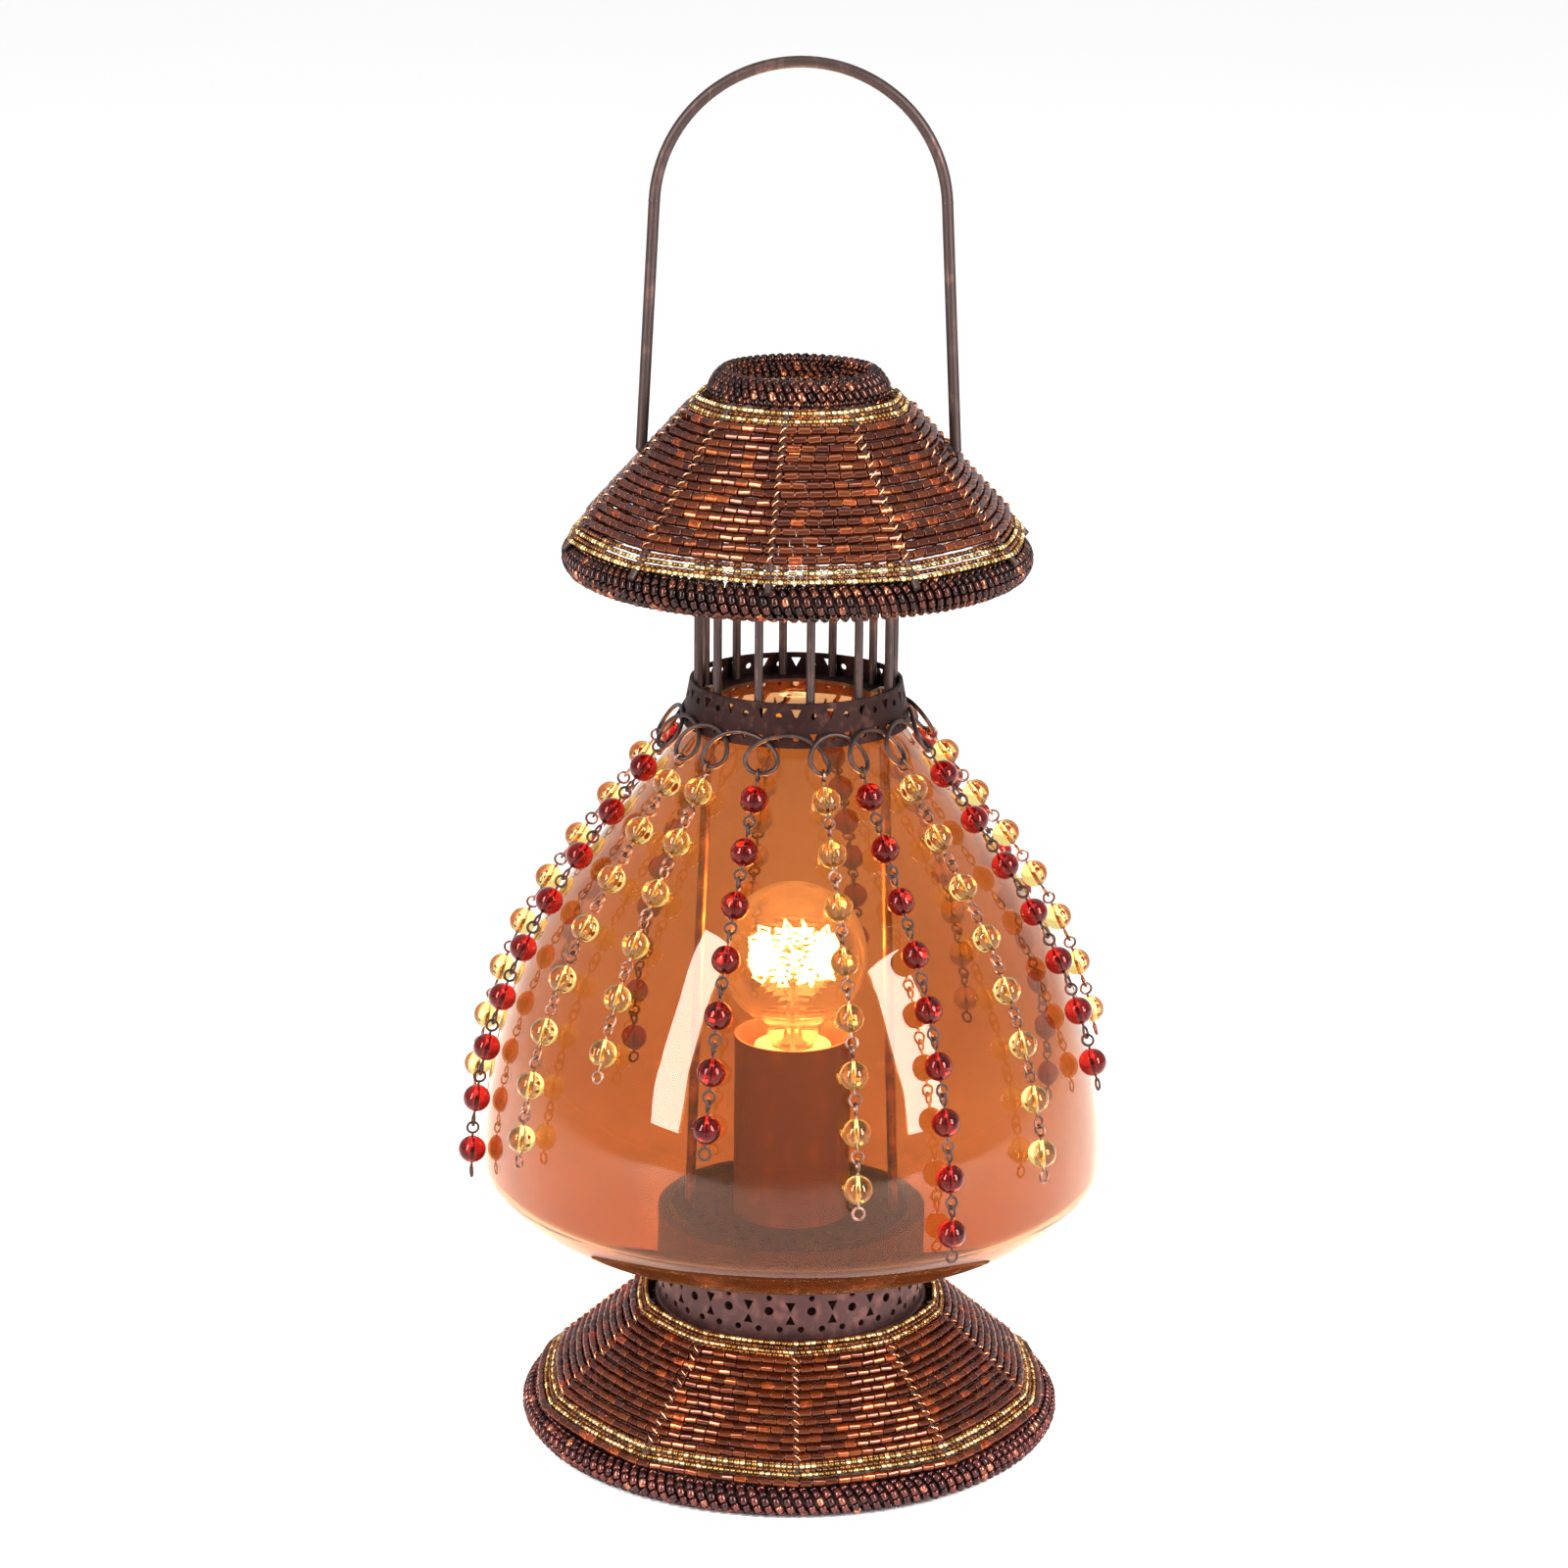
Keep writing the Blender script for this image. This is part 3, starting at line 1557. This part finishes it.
@dataclass
class BulbInside:
    """The stem, the lead wires and the lit coil inside the bulb."""

    bulb_z: float = 149.0
    arc_r: float = 11.5
    hub_z: float = 141.0
    stem_low: float = 119.4
    sway: float = 5.2
    waves: float = 8.5
    coil_start: float = 95.0
    coil_span: float = 350.0
    coil_steps: int = 180
    supports: tuple[float, ...] = (125.0, 197.0, 270.0, 343.0, 415.0)

    def build(self, bench: Bench) -> None:
        """Makes the three pieces, which ride on the bulb.

        Args:
            bench: What the pieces are made with.
        """
        stem = [
            *((0.4, self.stem_low), (4.4, self.stem_low), (3.2, 122.0), (2.2, 127.0), (1.9, 133.0)),
            *((1.7, 139.6), (2.0, self.hub_z), (1.4, 141.9), (0.4, 142.1)),
        ]
        piece = turned("bulb_stem", stem, 28)
        piece.data.materials.append(bench.finish.stem)
        bench.hand_in(piece, Body.BULB.value, ("bulb_filament",))
        bends = [
            *((1.2, self.hub_z), (5.0, self.hub_z + 2.2)),
            *((9.4, self.hub_z + 6.2), (self.arc_r, self.bulb_z)),
        ]
        wires = []
        for turn in self.supports:
            a = math.radians(turn)
            wires.append([(r * math.cos(a), r * math.sin(a), z) for r, z in bends])
        bench.wire(
            "bulb_supports",
            wires,
            0.2,
            bench.finish.cap,
            Slot.FILAMENT,
            Body.BULB.value,
            Sides=6,
            Step=0.0012,
        )
        arc = []
        for i in range(self.coil_steps + 1):
            a = math.radians(self.coil_start + self.coil_span * i / self.coil_steps)
            z = self.bulb_z + self.sway * math.sin(2 * math.pi * self.waves * i / self.coil_steps)
            arc.append((self.arc_r * math.cos(a), self.arc_r * math.sin(a), z))
        bench.wire(
            "bulb_coil",
            [arc],
            0.5,
            bench.finish.filament,
            Slot.FILAMENT,
            Body.BULB.value,
            Sides=5,
            Step=0.0005,
            Coil_radius=0.0022,
            Coil_pitch=0.0019,
        )


def dress_cad_nodes(finish: Finishes) -> None:
    """Gives the CAD nodes that stay in view their materials.

    Args:
        finish: The materials.
    """
    wanted = {
        "base_frame": finish.dark_wire,
        "base_plate": finish.lower_sheet,
        "cord_bushing": finish.plastic,
        "lower_collar": finish.lower_sheet,
        "seat_plate": finish.upper_sheet,
        "threaded_nipple": finish.brass,
        "nipple_nuts": finish.brass,
        "lampholder_sleeve": finish.sleeve,
        "lampholder": finish.holder,
        "lampholder_contacts": finish.brass,
        "stay_rods": finish.rods,
        "stay_rod_nuts": finish.rods,
        "upper_collar": finish.upper_sheet,
        "neck_posts": finish.dark_wire,
        "roof_frame": finish.dark_wire,
        "bail_handle": finish.dark_wire,
        "bulb_glass": finish.bulb,
        "bulb_cap": finish.cap,
    }
    for k, gold in enumerate(Strands.gold, 1):
        wanted[f"strand_{k:02d}_pins"] = finish.pin_wire if gold else finish.dark_wire
    for name, material in wanted.items():
        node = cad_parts[name]
        for slot in node.material_slots:
            slot.material = material
        log.info("%s: dressed in %s", name, material.name)


# ---------- the studio ----------


@dataclass
class SoftBox:
    """A lamp panel that stands round the object and faces it. Its lengths are in metres."""

    name: str
    azimuth: float
    reach: float
    low: float
    high: float
    width: float
    power: float

    def build(self, target: Vector) -> None:
        """Makes the lamp.

        Args:
            target: The point that it is turned to, in metres.
        """
        lamp = bpy.data.lights.new(self.name, "AREA")
        lamp.shape = "RECTANGLE"
        lamp.size, lamp.size_y = self.width, self.high - self.low
        lamp.energy = self.power
        made = bpy.data.objects.new(self.name, lamp)
        bpy.context.scene.collection.objects.link(made)
        middle = Vector(toward(self.azimuth, self.reach, (self.low + self.high) / 2))
        turn = (target - middle).to_track_quat("-Z", "Y").to_matrix().to_4x4()
        made.matrix_world = Matrix.Translation(middle) @ turn


@dataclass
class Studio:
    """The camera, a pale floor, an even white sky and soft lamps.

    The eye and the target are in metres, and the lengths of the floor and the bulb's light in millimetres.
    """

    eye: Point = (-0.00338, -1.24387, 0.55186)
    pitch: float = 15.66
    roll: float = 0.52
    lens: float = 98.51
    sky: float = 1.0
    target: Point = (0.0, 0.0, 0.17)
    floor_r: float = 14000.0
    floor_sides: int = 64
    bulb_power: float = 4.0
    bulb_colour: Colour = (1.0, 0.66, 0.34)
    bulb_light_r: float = 12.5
    boxes: list[SoftBox] = field(
        default_factory=lambda: [
            SoftBox("left_panel", -47.0, 1.35, 0.2, 1.36, 0.32, 38.0),
            SoftBox("right_panel", 50.0, 1.35, 0.2, 1.2, 0.42, 43.0),
            SoftBox("top_panel", 20.0, 0.5, 1.5, 2.3, 0.9, 10.0),
        ]
    )

    def camera(self) -> None:
        """Makes the camera at the photograph's angle."""
        data = bpy.data.cameras.new("camera")
        data.sensor_width, data.lens = 36.0, self.lens
        data.clip_start, data.clip_end = 0.05, 60.0
        made = bpy.data.objects.new("camera", data)
        bpy.context.scene.collection.objects.link(made)
        tilt = Matrix.Rotation(math.radians(90 - self.pitch), 4, "X")
        turn = Matrix.Rotation(math.radians(self.roll), 4, "Z")
        made.matrix_world = Matrix.Translation(Vector(self.eye)) @ tilt @ turn
        bpy.context.scene.camera = made

    def room(self) -> None:
        """Makes the floor and the sky."""
        paint = Paint("pale_floor")
        paint.set(
            Base_Color=paint.mix(paint.noise(400.0), (0.93, 0.93, 0.93), (0.95, 0.95, 0.95)),
            Roughness=0.7,
            Specular_IOR_Level=0.2,
        )
        rim = [toward(360 * i / self.floor_sides, self.floor_r, 0.0) for i in range(self.floor_sides)]
        points = [tuple(MM * c for c in place) for place in rim]
        floor = mesh_object("floor", points, [tuple(range(self.floor_sides))])
        floor.data.materials.append(paint.material)
        world = bpy.data.worlds.new("sky")
        world.use_nodes = True
        light = world.node_tree.nodes["Background"]
        light.inputs["Color"].default_value = (1.0, 1.0, 1.0, 1.0)
        light.inputs["Strength"].default_value = self.sky
        bpy.context.scene.world = world
        bpy.context.scene.view_settings.view_transform = "Standard"

    def bulb_light(self) -> None:
        """Makes the warm light that the lit coil throws on what stands round it."""
        lamp = bpy.data.lights.new("bulb_light", "POINT")
        lamp.energy = self.bulb_power
        lamp.color = self.bulb_colour
        lamp.shadow_soft_size = MM * self.bulb_light_r
        made = bpy.data.objects.new("bulb_light", lamp)
        made.visible_camera = False
        made.visible_transmission = False
        made.location = (0.0, 0.0, MM * BulbInside.bulb_z)
        bpy.context.scene.collection.objects.link(made)

    def build(self) -> None:
        """Sets the studio up."""
        self.camera()
        self.room()
        self.bulb_light()
        for box in self.boxes:
            box.build(Vector(self.target))


def main() -> None:
    logging.basicConfig(level=logging.INFO, format="%(name)s %(message)s")
    Studio().build()
    bench = Bench()
    finish = bench.finish
    dress_cad_nodes(finish)
    BeadRoll(
        "base_rim",
        ring_r=78.4,
        height=4.943,
        across=3.93,
        up=3.6,
        starts=3,
        turns=53,
        per_turn=10,
        bead_r=1.28,
        finish=finish.wine_seeds,
        seed=11,
    ).build(bench)
    BeadedCone(
        "base",
        turn=1.6,
        low=(77.2, 11.9),
        top=(45.2, 40.2),
        steps=15,
        bugle_long=3.8,
        slant=-1.0,
        gaps=(Gap(163.6, 22.0, 5.8),),
        below=(-0.8,),
        seed=12,
    ).build(bench)
    BeadRoll(
        "roof_rim",
        ring_r=64.8,
        height=274.2,
        across=4.2,
        up=4.5,
        starts=3,
        turns=47,
        per_turn=11,
        bead_r=1.22,
        finish=finish.seeds,
        seed=13,
    ).build(bench)
    BeadedCone(
        "roof",
        turn=-7.0,
        low=(66.6, 281.2),
        top=(29.6, 321.4),
        steps=18,
        bugle_long=4.0,
        slant=1.0,
        gaps=(Gap(90.0, 306.0, 2.85), Gap(-90.0, 306.0, 2.85)),
        straight=0.5,
        drop=-0.45,
        seed=14,
    ).build(bench)
    BeadRoll(
        "crown",
        ring_r=23.9,
        height=326.2,
        across=3.7,
        up=1.1,
        starts=4,
        turns=14,
        per_turn=8,
        bead_r=1.25,
        finish=finish.seeds,
        lean=-58.0,
        seed=15,
    ).build(bench)
    globe = Globe()
    globe.build(bench)
    strands = Strands(globe)
    strands.build(bench)
    PetalWire(strands).build(bench)
    BulbInside().build(bench)
    for shape in (bench.seed_shape, bench.tiny_shape, bench.bugle_shape, bench.round_shape):
        bpy.data.objects.remove(shape)


if __name__ == "__main__":
    main()
